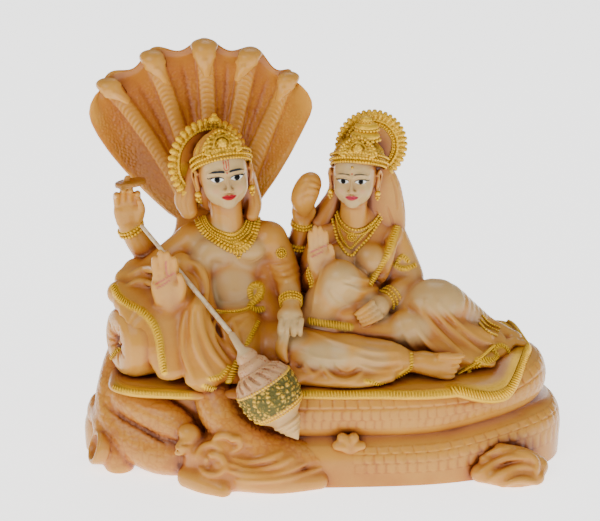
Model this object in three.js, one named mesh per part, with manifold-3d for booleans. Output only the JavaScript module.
// A cast and hand-painted resin group: a four-armed god and his consort seated on a mattress laid over
// the coils of a great serpent, whose five-headed hood fans out behind the god. The head of the god's
// mace is cast on the serpent, and the mace's thin rod is a separate piece set into the hand above it.
// Millimetres, +Z up. The origin is at the middle of the serpent's couch, on its flat underside.
// +X is the viewer's right and -Y is the front.

import * as THREE from "three";
import { mergeVertices } from "three/addons/utils/BufferGeometryUtils.js";
import Module from "manifold-3d";

const wasm = await Module();
wasm.setup();

// Driving dimensions.
const COUCH_HALF_LENGTH = 122; // from the origin to the end of the lowest coil
const COUCH_HALF_DEPTH = 51;
const SEAT_HEIGHT = 48; // top of the mattress over the surface the group stands on
const COIL_HEIGHT = 24; // one turn of the serpent
const LOWER_COIL_RADIUS = 14;
const UPPER_COIL_RADIUS = 13;
const MATTRESS_HALF_LENGTH = 105;
const MATTRESS_HALF_DEPTH = 42;
const MATTRESS_THICKNESS = 6;
const BOLSTER_RADIUS = 18;
const HOOD_FOOT = [-55.8, 26, 102]; // where the five necks meet, behind the god's shoulders
const HOOD_REACH = 104; // from that foot to the top of the middle head
const HOOD_THICKNESS = 6;
const MACE_TIP = [-89.7, -7, 122]; // the rod's free end
const MACE_JOINT = [-44.4, -35.5, 75.1]; // where the rod meets the stub that is cast with the head
const MACE_NECK = [-38.4, -43, 68.7];
const MACE_FINIAL = [-12.2, -57, 29.3]; // the lowest point of the mace's head
const MACE_ROD_RADIUS = 1.3;
const MACE_HEAD_RADIUS = 14.7;
const MACE_FIT_GAP = 0.35; // between the rod and the casting, all round
const GOD_HEAD = 14; // half height of the face and skull
const GODDESS_HEAD = 12.6;

// ---- Shapes ----
const vec = (p) => new THREE.Vector3(p[0], p[1], p[2]);
const radians = THREE.MathUtils.degToRad;

// A closed three.js geometry as a solid that can be joined to others and cut.
function solid(geometry) {
  const loose = geometry.index ? geometry.toNonIndexed() : geometry.clone();
  loose.deleteAttribute("normal");
  loose.deleteAttribute("uv");
  const merged = mergeVertices(loose, 1e-3);
  const vertProperties = merged.attributes.position.array;
  const triVerts = new Uint32Array(merged.index.array);
  const made = new wasm.Manifold(new wasm.Mesh({ numProp: 3, vertProperties, triVerts }));
  if (made.volume() > 0) return made;
  for (let i = 0; i < triVerts.length; i += 3) {
    [triVerts[i + 1], triVerts[i + 2]] = [triVerts[i + 2], triVerts[i + 1]];
  }
  return new wasm.Manifold(new wasm.Mesh({ numProp: 3, vertProperties, triVerts }));
}

// A geometry from rings of points, each ring joined to the next, with a point closing each end.
function skin(rings, start, end) {
  const sides = rings[0].length;
  const points = [...rings.flat(), start, end];
  const startIndex = points.length - 2;
  const endIndex = points.length - 1;
  const last = (rings.length - 1) * sides;
  const index = [];
  for (let side = 0; side < sides; side++) {
    const next = (side + 1) % sides;
    index.push(startIndex, next, side, endIndex, last + side, last + next);
    for (let ring = 0; ring < rings.length - 1; ring++) {
      const a = ring * sides;
      const b = a + sides;
      index.push(a + side, a + next, b + side, a + next, b + next, b + side);
    }
  }
  const geometry = new THREE.BufferGeometry().setFromPoints(points);
  geometry.setIndex(index);
  return geometry;
}

// A limb: a smooth tube with closed ends through stations [x, y, z, half width, half thickness].
// wide is the direction that the half width is measured in. round gives the ends one more ring.
function limb(stations, { sides = 6, steps = Math.ceil(1.1 * (stations.length - 1)), wide = [1, 0, 0], round = false } = {}) {
  const curve = new THREE.CatmullRomCurve3(stations.map(vec), false, "centripetal");
  const rings = [];
  const ringAt = (t, slide, shrink) => {
    const place = Math.min(t * (stations.length - 1), stations.length - 1 - 1e-6);
    const before = stations[Math.floor(place)];
    const after = stations[Math.floor(place) + 1];
    const share = place - Math.floor(place);
    const size = (k) => THREE.MathUtils.lerp(before[k] ?? before[3], after[k] ?? after[3], share);
    const along = curve.getTangent(t);
    const across = vec(wide).addScaledVector(along, -along.dot(vec(wide))).normalize();
    const up = along.clone().cross(across);
    const centre = curve.getPoint(t).addScaledVector(along, slide * size(4));
    const ring = [];
    for (let side = 0; side < sides; side++) {
      const angle = (2 * Math.PI * side) / sides;
      const point = centre.clone();
      point.addScaledVector(across, Math.cos(angle) * size(3) * shrink);
      ring.push(point.addScaledVector(up, Math.sin(angle) * size(4) * shrink));
    }
    return { ring, centre };
  };
  if (round) rings.push(ringAt(0, -0.6, 0.75).ring);
  for (let step = 0; step <= steps; step++) rings.push(ringAt(step / steps, 0, 1).ring);
  if (round) rings.push(ringAt(1, 0.6, 0.75).ring);
  const reach = round ? 0.95 : 0.6;
  return solid(skin(rings, ringAt(0, -reach, 0).centre, ringAt(1, reach, 0).centre));
}

// An egg or ball of the given half sizes, turned by Euler angles in degrees.
function egg(centre, half, turn = [0, 0, 0], detail = 7) {
  const geometry = new THREE.SphereGeometry(1, detail, Math.max(4, Math.round(detail * 0.6)));
  geometry.rotateX(Math.PI / 2);
  geometry.scale(...half);
  return solid(place(geometry, centre, turn));
}

// Turns a geometry by Euler angles in degrees, then moves it.
function place(geometry, centre, turn = [0, 0, 0]) {
  const matrix = new THREE.Matrix4().makeRotationFromEuler(new THREE.Euler(...turn.map(radians), "ZYX"));
  return geometry.applyMatrix4(matrix).translate(...centre);
}

// A stack of level outlines [z, half length, half depth]: squareness 2 is an oval, more is squarer.
// shift moves each point by an amount of its own.
function stack(levels, around, squareness = 2, shift = () => [0, 0, 0]) {
  const bend = (v) => Math.sign(v) * Math.abs(v) ** (2 / squareness);
  const rings = levels.map(([z, length, depth]) => Array.from({ length: around }, (_, i) => {
    const angle = (2 * Math.PI * i) / around;
    const [x, y] = [length * bend(Math.cos(angle)), depth * bend(Math.sin(angle))];
    return vec([x, y, z]).add(vec(shift(x, y, z)));
  }));
  return solid(skin(rings, vec([0, 0, levels[0][0]]), vec([0, 0, levels.at(-1)[0]])));
}

// A flat plate cut to a closed outline in its own X and Y, given thickness along its own Z.
function plate(outline, thickness, centre, turn) {
  const shape = new THREE.Shape(outline.map(([x, y]) => new THREE.Vector2(x, y)));
  const geometry = new THREE.ExtrudeGeometry(shape, { depth: thickness, bevelEnabled: false });
  return solid(place(geometry.translate(0, 0, -thickness / 2), centre, turn));
}

// Outline points from a polar formula of the angle.
function polar(count, radius) {
  return Array.from({ length: count }, (_, i) => {
    const angle = (2 * Math.PI * i) / count;
    return [radius(angle) * Math.cos(angle), radius(angle) * Math.sin(angle)];
  });
}

// Folds of cloth fanned between an upper and a lower edge, each edge two end points.
function folds(count, upperA, upperB, lowerA, lowerB, sag, width) {
  return Array.from({ length: count }, (_, i) => {
    const share = count === 1 ? 0.5 : i / (count - 1);
    const top = vec(upperA).lerp(vec(upperB), share);
    const foot = vec(lowerA).lerp(vec(lowerB), share);
    const middle = top.clone().lerp(foot, 0.55).add(vec(sag));
    const stations = [
      [...top, width * 0.6],
      [...middle, width],
      [...foot, width],
    ];
    return limb(stations, { sides: 4, steps: 2 });
  });
}

// A hand from its wrist: along is where the fingers point, and facing is the palm's direction.
function hand({ wrist, along, facing, length, width, curl = 0, thumb = 1, closed = false }) {
  const ahead = vec(along).normalize();
  const palm = vec(facing).addScaledVector(ahead, -ahead.dot(vec(facing))).normalize();
  const across = ahead.clone().cross(palm);
  const at = (forward, side, out) => {
    const p = vec(wrist).addScaledVector(ahead, forward * length);
    return p.addScaledVector(across, side * width).addScaledVector(palm, out * width);
  };
  const wide = [...across];
  const palmStations = [
    [...at(0, 0, 0), width * 0.34, width * 0.26],
    [...at(0.28, 0, 0), width * 0.5, width * 0.27],
    [...at(0.52, 0, 0), width * 0.46, width * 0.18],
  ];
  const thumbRoot = [...at(0.15, -0.42 * thumb, 0.05), width * 0.17];
  const thumbTip = [...at(0.55, -0.6 * thumb, 0.2), width * 0.11];
  const thumbPiece = limb([thumbRoot, thumbTip], { sides: 4, steps: 1, wide });
  if (closed) {
    // The fingers lie together as one.
    const bend = [...at(0.76, 0, curl * 0.25), width * 0.43, width * 0.17];
    const tips = [...at(1 - 0.2 * curl, 0.02, curl * 0.6), width * 0.28, width * 0.1];
    return [limb([...palmStations, bend, tips], { wide, steps: 4 }), thumbPiece];
  }
  const pieces = [limb(palmStations, { wide, steps: 2 }), thumbPiece];
  [0.84, 0.97, 1, 0.88].forEach((reach, i) => {
    const side = (i - 1.5) * 0.25 * thumb;
    const knuckle = [...at(0.48, side, 0), width * 0.13];
    const bend = [...at(0.48 + (reach - 0.48) * 0.6, side, curl * 0.25), width * 0.125];
    const tip = [...at(0.48 + (reach - 0.48) * (1 - 0.35 * curl), side, curl * 0.6), width * 0.1];
    pieces.push(limb([knuckle, bend, tip], { sides: 4, steps: 2, wide }));
  });
  return pieces;
}

// ---- The serpent and what lies on it ----
// The turns climb towards the right end, and draw in at the front of the left end.
function coilClimb(x, y, z) {
  const climb = 8 * THREE.MathUtils.smoothstep(x, 50, 112) * Math.min(1, Math.max(0, z / 14));
  const inward = y < 0 ? -0.3 * y * THREE.MathUtils.smoothstep(-x, 45, 95) : 0;
  return [0, inward, climb];
}

function serpentCouch() {
  // Two turns of the serpent, one on the other, filled solid between. They climb to the right end.
  const turns = [0, 1].flatMap((turn) => [-70, -25, 20, 65].map((angle) => {
    const low = turn === 0 && angle < 0;
    const bulge = LOWER_COIL_RADIUS * Math.cos(radians(low ? angle * 0.3 : angle));
    const inset = LOWER_COIL_RADIUS + 8 * turn;
    const z = (turn + 0.5) * COIL_HEIGHT + (COIL_HEIGHT / 2) * Math.sin(radians(angle)) - 2;
    return [z, COUCH_HALF_LENGTH - inset + bulge, COUCH_HALF_DEPTH - inset * 0.75 + bulge * 0.75];
  }));
  turns[0][0] = -1;
  return [
    stack(turns, 30, 2.3, coilClimb),
    // The turn that rises at the left end, passes behind the bolster and becomes the hood's neck.
    limb([
      [-70, -30, 11, 12],
      [-88, -27, 14, 13],
      [-102, -18, 24, 13],
      [-101, -5, 40, 12],
      [-92, 12, 60, 12],
      [-80, 24, 80, 12],
      [-60, 27, 104, 14],
    ], { sides: 7, steps: 9 }),
    // The inner turn under the mattress, with its pointed tip.
    limb([
      [-107, -12, 36, 8],
      [-95, -24, 31, 9],
      [-80, -31, 26, 10],
      [-68, -36, 22, 8],
      [-61, -41, 18, 4],
    ]),
    // The turn that comes down from under the robe and runs along the front.
    limb([
      [-55, -32, 45, 10, 11],
      [-48, -40, 32, 11, 12],
      [-32, -44, 20, 10, 11],
      [-8, -43, 13, 9],
      [22, -39, 10, 8],
    ]),
    // The tail, its cut end turned down to the ground.
    limb([
      [-112, -4, 24, 7],
      [-108, -20, 20, 8],
      [-104, -27, 10, 9],
      [-102, -29, 4, 8],
    ]),
    egg([-113, -6, 21], [7, 8, 8]),
  ];
}

// Waves that break against the foot of the couch: a rocky foot and the curls of foam on it.
function waves() {
  const foot = (x, y, height) => limb(
    [[x - 9, y + 14, 4, 9, 8], [x, y + 4, height * 0.4, 9, height * 0.7], [x + 14, y + 10, 5, 8, 9]],
    { steps: 2, wide: [0, 1, 0] },
  );
  const curls = [
    [-46, -50, 25, 9], [-58, -48, 17, 9], [-46, -55, 15, 8], [-22, -51, 15, 13], [10, -46, 22, 8], [88, -46, 15, 9],
  ];
  return [
    foot(-49, -54, 11),
    foot(92, -46, 12),
    limb([[-38, -54, 8, 8], [-20, -53, 5, 7], [-2, -50, 4, 5]], { steps: 2 }),
    ...curls.map(([x, y, z, half]) => egg([x, y, z], [half, half * 0.6, half * 0.55], [0, 20, 10], 6)),
  ];
}

// The mattress with its raised trim, and the bolster with puckered ends.
function bedding() {
  const trim = [[0.5, -4], [1.2, 0.5], [3, 1.5], [4.8, 0.5], [MATTRESS_THICKNESS, -1.5]].map(([z, out]) => [
    SEAT_HEIGHT - MATTRESS_THICKNESS + z, MATTRESS_HALF_LENGTH + out, MATTRESS_HALF_DEPTH + out,
  ]);
  const profile = [
    [0, -1], [4, -3], [BOLSTER_RADIUS * 0.75, -5], [BOLSTER_RADIUS, 0], [BOLSTER_RADIUS, 62],
    [BOLSTER_RADIUS * 0.7, 67], [0, 66],
  ].map(([r, y]) => new THREE.Vector2(r, y));
  const bolster = place(new THREE.LatheGeometry(profile, 12), [-98, -20, 67], [0, 0, -62]);
  return [
    stack(trim, 34, 6, (x, y) => {
      // The right end lies on the climbing turns, and the front corners droop.
      const corner = (side) => Math.min(1, Math.max(0, (side * x - 70) / 30)) * Math.min(1, Math.max(0, -y / 40));
      return [0, 0, 4.5 * THREE.MathUtils.smoothstep(x, 50, 105) - 6.5 * corner(1) - 4 * corner(-1)];
    }),
    solid(bolster),
  ];
}

// The hood as a bowed fan round its foot: the angle runs from side to side, the share from foot to rim.
const HOOD_LEAN = -5.5; // degrees: the fan's middle, towards the viewer's left
const HOOD_HALF_FAN = 45;
const HOOD_HEADS = [-31, -16.3, -2, 12, 25.5]; // degrees from upright
const HOOD_HEAD_SPACING = 14.1;

function hoodPoint(angle, share, forward = 0) {
  const across = (angle - HOOD_LEAN) / HOOD_HALF_FAN;
  // The fan opens a little more towards its rim, then its shoulders round off.
  const open = 0.95 + 0.09 * THREE.MathUtils.smoothstep(share, 0.45, 0.8);
  const round = share < 0.8 ? 0 : 0.2 * ((share - 0.8) / 0.2) ** 2;
  const edge = THREE.MathUtils.smoothstep(Math.abs(across), 0.6, 1);
  const spread = HOOD_LEAN + (angle - HOOD_LEAN) * (1 + (open - 1 - round) * edge);
  const scallop = Math.cos((2 * Math.PI * (angle - HOOD_HEADS[2])) / HOOD_HEAD_SPACING);
  const rim = HOOD_REACH - 3 - 0.0075 * (spread + 2) ** 2 + 2.4 * scallop * share ** 8;
  const reach = rim * share;
  const bow = 9 * Math.sin(Math.PI * share) - 12 * across ** 2 * share - 13 * share ** 4;
  const x = HOOD_FOOT[0] + reach * Math.sin(radians(spread));
  const z = HOOD_FOOT[2] + reach * Math.cos(radians(spread)) * 1.06;
  return new THREE.Vector3(x, HOOD_FOOT[1] + bow - forward, z);
}

function hood() {
  const rows = 10;
  // Across the fan the front swells over each throat and sinks between two of them.
  const columns = [[HOOD_LEAN - HOOD_HALF_FAN, 0], [-44, 0], [HOOD_HEADS[0] - HOOD_HEAD_SPACING / 2, 0]];
  HOOD_HEADS.forEach((angle) => {
    columns.push([angle - 4, 0.6], [angle, 1], [angle + 4, 0.6], [angle + HOOD_HEAD_SPACING / 2, 0]);
  });
  columns.push([HOOD_LEAN + HOOD_HALF_FAN, 0]);
  const rings = [];
  for (let row = 0; row <= rows; row++) {
    const share = 0.12 + (0.88 * row) / rows;
    const thickness = HOOD_THICKNESS * (1.25 - 0.5 * share);
    // Every other row of a throat stands lower, which ribs it, and the last rows are the heads.
    const throat = 1.5 + 3.2 * THREE.MathUtils.smoothstep(share, 0.15, 0.3) * (row % 2 ? 1 : 0.7);
    const swell = row > rows - 2 ? 8 : row > rows - 3 ? 9.5 : throat;
    const front = columns.map(([angle, part]) => hoodPoint(angle, share, thickness / 2 + part * swell));
    const back = columns.map(([angle]) => hoodPoint(angle, share, -thickness / 2)).reverse();
    rings.push([...front, ...back]);
  }
  const fan = solid(skin(rings, hoodPoint(HOOD_LEAN, 0.1), hoodPoint(HOOD_LEAN, 1)));
  const foot = limb([[-56, 23, 84, 21, 9], [-56, 25, 104, 21, 9], [-55, 28, 126, 30, 7]], { steps: 2 });
  return [fan, foot];
}

// ---- Heads and crowns ----
// A head with calm, regular features. turn is [pitch, roll, yaw] in degrees.
function head({ centre, half, turn }) {
  const local = (x, y, z) => {
    const euler = new THREE.Euler(...turn.map(radians), "ZYX");
    return [...new THREE.Vector3(x * half, y * half, z * half).applyEuler(euler).add(vec(centre))];
  };
  const size = (...parts) => parts.map((v) => v * half);
  return [
    egg(centre, size(0.79, 0.92, 1.06), turn, 10),
    egg(local(0, -0.22, -0.5), size(0.58, 0.62, 0.66), turn, 7),
    limb([[...local(0, -0.86, 0.12), half * 0.08], [...local(0, -1.0, -0.24), half * 0.15]], { sides: 4, steps: 1 }),
  ];
}

// A crown: a dome with a rim band, a pointed front plate, and a scalloped disc standing behind it.
function crown({ centre, half, turn, disc, discHalf, discTurn }) {
  const rings = [[0, 1.7], [0.24, 1.62], [0.3, 1.3], [0.74, 1], [0.98, 0.45], [1.06, -0.1], [1, -0.25], [0, -0.25]];
  const profile = rings.map(([r, z]) => new THREE.Vector2(r * half, z * half)).reverse();
  const dome = new THREE.LatheGeometry(profile, 10);
  dome.rotateX(Math.PI / 2);
  const leaf = [
    [-0.7, -0.1], [-0.5, 0.5], [0, 1.5], [0.5, 0.5], [0.7, -0.1],
  ].map(([x, y]) => [x * half, y * half]).reverse();
  const euler = new THREE.Euler(...turn.map(radians), "ZYX");
  const front = vec([0, -half * 1.02, half * 0.1]).applyEuler(euler).add(vec(centre));
  const rim = polar(26, () => discHalf);
  return [
    solid(place(dome, centre, turn)),
    plate(leaf, half * 0.22, [...front], [turn[0] + 78, turn[1], turn[2]]),
    plate(rim, 3.6, disc, discTurn),
  ];
}

// A bangle or armlet round a limb, square to the line between two points.
function bangle(centre, along, radius, thickness) {
  const ring = new THREE.TorusGeometry(radius, thickness, 4, 9);
  const turn = new THREE.Quaternion().setFromUnitVectors(new THREE.Vector3(0, 0, 1), vec(along).normalize());
  return solid(ring.applyQuaternion(turn).translate(...centre));
}

// ---- The god ----
function god() {
  const chestTurn = { sides: 8, steps: 5 };
  const torso = limb([
    [-43, -1, 58, 21, 16],
    [-46, 1, 76, 14.5, 11.5],
    [-46, 2, 92, 16, 12],
    [-46.5, 4, 104, 20, 11.5],
    [-46.5, 5, 114, 19, 8.5],
  ], chestTurn);
  const neck = limb([[-47, 4, 112, 8.2], [-48, 1, 128, 8]], { steps: 1 });
  const headAt = [-48.5, -1.5, 144.5];
  const rightShoulder = [-66, 5, 109, 8.5];
  const leftShoulder = [-26.5, 5, 110.5, 9];
  const arms = [
    // Front right: the elbow on the bolster, the hand raised.
    limb([rightShoulder, [-81, 0, 98, 8], [-92, -6, 90, 7.5], [-83, -16, 87, 6.5], [-75.5, -24, 88, 5.5]]),
    // Back right: raised behind, with the disc.
    limb([[-65, 9, 110, 7.5], [-75, 11, 100, 7], [-83, 11, 95, 6.8], [-91, 8, 106, 6.4], [-96.5, 5, 117, 5.4]]),
    // Front left: resting on the thigh.
    limb([leftShoulder, [-20.5, 3, 100, 7.4], [-17.5, -2, 92, 6.8], [-16.2, -12, 88, 5.6], [-15.6, -21, 84, 4.8]]),
    // Back left: raised behind, with the conch.
    limb([[-28, 10, 109, 7.5], [-20, 14, 100, 6.4], [-13.5, 15, 101, 6], [-11, 14, 110, 5.2], [-9.8, 12, 118, 4.6]]),
  ];
  const hands = [
    ...hand({ wrist: [-75.5, -25.5, 88], along: [0, -0.1, 1], facing: [0.1, -1, 0], length: 31, width: 15.5, thumb: -1 }),
    ...hand({ wrist: [-96.5, 4.5, 118], along: [-0.05, -0.1, 1], facing: [0.2, -1, 0], length: 25, width: 14, curl: 0.5, thumb: -1, closed: true }),
    ...hand({ wrist: [-15.6, -22, 83.5], along: [0.12, -0.35, -1], facing: [0, 1, -0.3], length: 16, width: 11, thumb: -1, closed: true }),
    ...hand({ wrist: [-9.8, 11.5, 118], along: [0, -0.1, 1], facing: [0, -1, 0.1], length: 17, width: 11, curl: 0.6, closed: true, thumb: -1 }),
  ];
  const held = [
    plate(polar(12, () => 8), 4, [-93, 4, 140], [14, -10, 0]),
    limb([[-4.5, 7, 141, 3.5], [-7.5, 7, 138, 7], [-9.5, 7, 131, 6.4], [-9, 9, 124, 3]], { steps: 3 }),
    limb([[-17.5, -29, 76, 3], [-19.5, -31, 70, 4.2, 2.6], [-19, -31, 64, 1.6]], { sides: 4, steps: 2 }),
  ];
  const legs = [
    limb([
      [-36, -6, 61, 16, 14],
      [-12, -20, 60, 14, 13],
      [13, -25, 59.5, 10.5, 11],
      [32, -27, 58, 8.5, 10],
      [43, -26, 57, 5, 5.4],
      [53, -26.5, 55.6, 5, 6],
      [62, -28.5, 55.4, 4.2, 7.6],
    ], { wide: [0, 1, 0] }),
    limb([[-50, -4, 61, 15, 14], [-59, -22, 59, 13, 14], [-58, -36, 54, 9, 9]]),
  ];
  const robe = [
    // The shawl from the raised arm over the bolster, and its gathered fall beside the hip.
    egg([-93, 1, 95.5], [7, 6, 6]),
    limb([[-101, -13, 88.5, 6, 6], [-84, -24, 82, 16, 6], [-77, -32, 70, 13, 5], [-73, -36, 57, 9, 5]], { steps: 4 }),
    ...folds(3, [-74, -24, 84], [-62, -22, 86], [-66, -40, 52], [-46, -44, 52], [-3, 0, -2], 3.4),
    ...folds(2, [-40, -12, 80], [-34, -12, 79], [-56, -34, 66], [-42, -38, 60], [0, -2, 2], 2.6),
    limb([[-59, -43, 50, 2.2], [-50, -46, 53, 3], [-40, -44, 62, 2.4]], { sides: 4, steps: 3 }),
    // The robe's mass behind both figures.
    limb([[-74, 18, 60, 14, 9], [-46, 17, 78, 30, 8], [-20, 17, 80, 26, 8], [14, 18, 72, 24, 8], [44, 16, 60, 12, 9]], { steps: 4, wide: [0, 0, 1] }),
    // Loops of cloth that hang under the outstretched leg.
    limb([[0, -35, 56, 2], [12, -39, 51, 2], [28, -38, 53, 2], [30, -36, 58, 1.6]], { sides: 4, steps: 4 }),
    limb([[-22, -33, 58, 3], [-14, -38, 52, 3.4], [-8, -36, 54, 2.4]], { sides: 4, steps: 3 }),
    // The shawl bands round the left arm.
    bangle([-18, -3, 93], [0, 1, -0.25], 8.2, 2.4),
  ];
  const locks = [
    limb([[-59, 6, 142, 5], [-62, 7, 130, 6.5], [-64, 6, 121, 6]], { steps: 2 }),
    limb([[-39, 7, 142, 5], [-37, 8, 130, 5], [-37, 7, 120, 6]], { steps: 2 }),
  ];
  return [
    torso, neck, ...arms, ...hands, ...held, ...legs, ...robe, ...locks,
    ...head({ centre: headAt, half: GOD_HEAD, turn: [-4, 0, 14] }),
    ...crown({
      centre: [-50.5, 1, 154.5], half: 13.5, turn: [-4, 0, 14],
      disc: [-54, 8, 151], discHalf: 21.5, discTurn: [84, 0, 8],
    }),
    egg([-30, -11, 82], [4, 3, 7], [0, 0, 0], 7),
  ];
}

// ---- The consort ----
function goddess() {
  const torso = limb([
    [30, 11, 60, 20, 16],
    [25, 11, 76, 13, 11],
    [20, 10, 90, 13, 10],
    [18, 10, 103, 17, 10.5],
    [18, 11, 112, 17, 8],
  ], { sides: 8, steps: 5 });
  const breasts = [egg([8.5, 1, 101], [8, 7.5, 8]), egg([24, 1.5, 101], [8.5, 7.5, 8.5])];
  const neck = limb([[15.5, 9, 112, 7], [15.5, 6, 127, 6.8]], { steps: 1 });
  const arms = [
    // Right: raised in blessing.
    limb([[2, 12, 110, 8], [-4, 8, 98, 7], [-6, 2, 89, 6.5], [-3.5, -5, 94, 5.6], [-1, -9, 99, 5]]),
    // Left: down to the raised thigh.
    limb([[35, 13, 108, 8.4], [41, 12, 96, 7.6], [44.5, 8, 87, 6.8], [38, 1, 84, 6.2], [31.5, -6, 81, 4.6]]),
  ];
  const hands = [
    ...hand({ wrist: [-1, -9.5, 99], along: [-0.08, -0.1, 1], facing: [0.2, -1, 0], length: 25, width: 12.5, thumb: -1, closed: true }),
    ...hand({ wrist: [31.5, -6.5, 81], along: [-1, -0.35, -0.5], facing: [-0.2, 0.9, -0.5], length: 18, width: 11.5, closed: true }),
  ];
  const legs = [
    // The right knee is drawn up towards the viewer, with the shin down behind the god's leg.
    limb([[25, 6, 70, 13, 13], [16, -5, 86, 10.5, 11], [8.5, -14, 96.5, 9.5, 9]]),
    limb([[8.5, -14, 96.5, 9.5, 9], [2, -11, 84, 10.5, 10], [-6, -6, 68, 10, 9], [-8, -6, 56, 12, 8]]),
    // The left leg lies out to the side, its foot on the mattress.
    limb([
      [34, 8, 68, 15, 14],
      [48, 0, 75, 13, 12],
      [58, -2, 79, 12.5, 12],
      [72, 5, 69, 8.5, 8.5],
      [84, 10, 60.5, 4.8, 4.8],
      [91, 9, 57, 5, 4],
      [99, 6.5, 54, 5, 2.6],
    ], { wide: [0, 1, 0] }),
    egg([45, -6, 62], [15, 12, 11], [0, 14, 0], 10),
  ];
  const skirt = [
    ...folds(3, [38, -6, 74], [52, -8, 68], [88, 0, 56], [74, -19, 50.5], [2, -2, -3], 2.8),
    limb([[64, -22, 50, 2.2], [78, -18, 51.5, 3], [90, -8, 52.5, 3], [97, 1, 54, 2.4]], { sides: 4, steps: 4 }),
    // The sash over the left shoulder.
    limb([[37, 8, 115, 3, 1.8], [33, -1, 104, 3.2, 2], [30, -1, 93, 3.2, 2], [24, -1, 85, 3, 2]], { sides: 4, steps: 4 }),
  ];
  const veil = [
    limb([[23, 14, 146, 10, 7], [28, 15, 133, 11.5, 7.5], [30, 15, 119, 12, 7], [32, 14, 108, 10, 6]], { steps: 4 }),
    egg([21, 15, 119], [17, 7, 12]),
    limb([[10, 14, 146, 6, 6], [7, 14, 132, 4.5, 6], [0, 14, 117, 7, 6]], { steps: 2 }),
  ];
  return [
    torso, neck, ...breasts, ...arms, ...hands, ...legs, ...skirt, ...veil,
    ...head({ centre: [15.8, 4, 140], half: GODDESS_HEAD, turn: [-4, 0, -8] }),
    ...crown({
      centre: [17, 8, 150.5], half: 13, turn: [-6, 3, -4],
      disc: [24, 13, 157], discHalf: 17.6, discTurn: [84, 6, 6],
    }),
    bangle([32.8, -4.6, 81.4], [1, 0.9, 0.35], 5.2, 2),
  ];
}

// ---- The mace ----
// A turned shape on the line between two points, from [radius, distance from the first point] pairs.
function turned(profile, from, to, sides) {
  const turn = new THREE.Quaternion().setFromUnitVectors(new THREE.Vector3(0, 1, 0), vec(to).sub(vec(from)).normalize());
  const geometry = new THREE.LatheGeometry(profile.map(([radius, y]) => new THREE.Vector2(radius, y)), sides);
  return solid(geometry.applyQuaternion(turn).translate(...from));
}

// The stub, and the collar, melon-shaped head and finial.
function maceHead() {
  const length = vec(MACE_FINIAL).distanceTo(vec(MACE_NECK));
  const r = MACE_HEAD_RADIUS;
  const profile = [
    [0, -2], [2.4, -1.5], [5, 1.5], [5.2, 5], [8, 7.5], [8.6, 11], [0.93 * r, 16.5], [r, 24],
    [0.88 * r, 31], [0.55 * r, 37], [5.4, 40.5], [0, length],
  ];
  const stub = limb([[...MACE_JOINT, 1.5], [...MACE_NECK, 2.2]], { steps: 1 });
  return [turned(profile, MACE_NECK, MACE_FINIAL, 14), stub];
}

// The rod. grow widens it, to cut its own seat with some clearance.
function maceRod(grow = 0) {
  const end = vec(MACE_JOINT).distanceTo(vec(MACE_TIP)) - 1.4 + grow;
  const profile = [[0, -grow], [0.75 * MACE_ROD_RADIUS + grow, -grow], [MACE_ROD_RADIUS + grow, end], [0, end]];
  return turned(profile, MACE_TIP, MACE_JOINT, 10);
}

// ---- The two pieces ----
function casting() {
  const pieces = [...serpentCouch(), ...waves(), ...bedding(), ...hood(), ...god(), ...goddess(), ...maceHead()];
  const joined = pieces.reduce((a, b) => a.add(b));
  const below = solid(new THREE.BoxGeometry(400, 400, 100).translate(0, 0, -50));
  const cut = joined.subtract(below).subtract(maceRod(MACE_FIT_GAP));
  return cut.decompose().sort((a, b) => b.volume() - a.volume())[0];
}

function mesh(name, shape, colour, roughness) {
  const { vertProperties, triVerts } = shape.getMesh();
  const geometry = new THREE.BufferGeometry();
  geometry.setAttribute("position", new THREE.BufferAttribute(vertProperties, 3));
  geometry.setIndex(new THREE.BufferAttribute(triVerts, 1));
  geometry.computeVertexNormals();
  const made = new THREE.Mesh(geometry, new THREE.MeshStandardMaterial({ color: colour, roughness, metalness: 0 }));
  made.name = name;
  return made;
}

const group = new THREE.Group();
group.add(mesh("figure_group", casting(), 0xd9a066, 0.42));
group.add(mesh("mace_rod", maceRod(), 0xe6d3b8, 0.45));

export default group;
